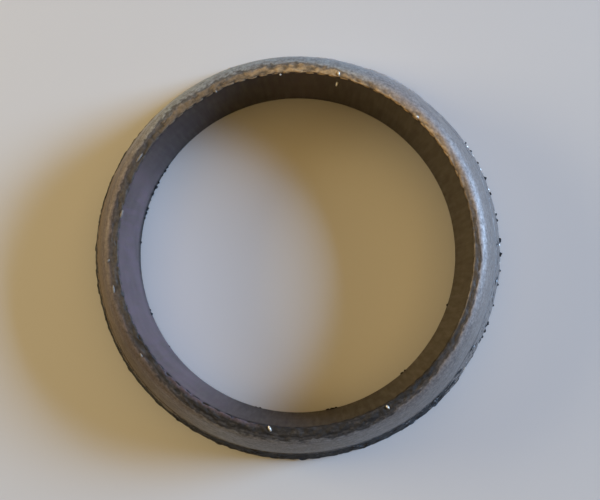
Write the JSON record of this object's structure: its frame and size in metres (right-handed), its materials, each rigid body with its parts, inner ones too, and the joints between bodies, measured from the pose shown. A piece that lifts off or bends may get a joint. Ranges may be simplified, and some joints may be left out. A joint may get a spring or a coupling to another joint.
{
  "type": "exhaust sealing ring",
  "caption": "Pressed wire-mesh and graphite ring with a straight bore, flat base, tapered skirt and part-spherical seat that seals the ball joint between two exhaust pipes.",
  "frame": {"origin": "on the bore's axis, in the plane of the flat base", "axes": "+Z along the bore's axis, from the wide base up to the narrow rim; X and Y are free"},
  "size_m": [0.065, 0.065, 0.015],
  "materials": {
    "pressed_mesh": "satin, burnished on the seat and dark on the skirt"
  },
  "bodies": {
    "root": {"sealing_ring": "pressed_mesh"}
  },
  "joints": []
}
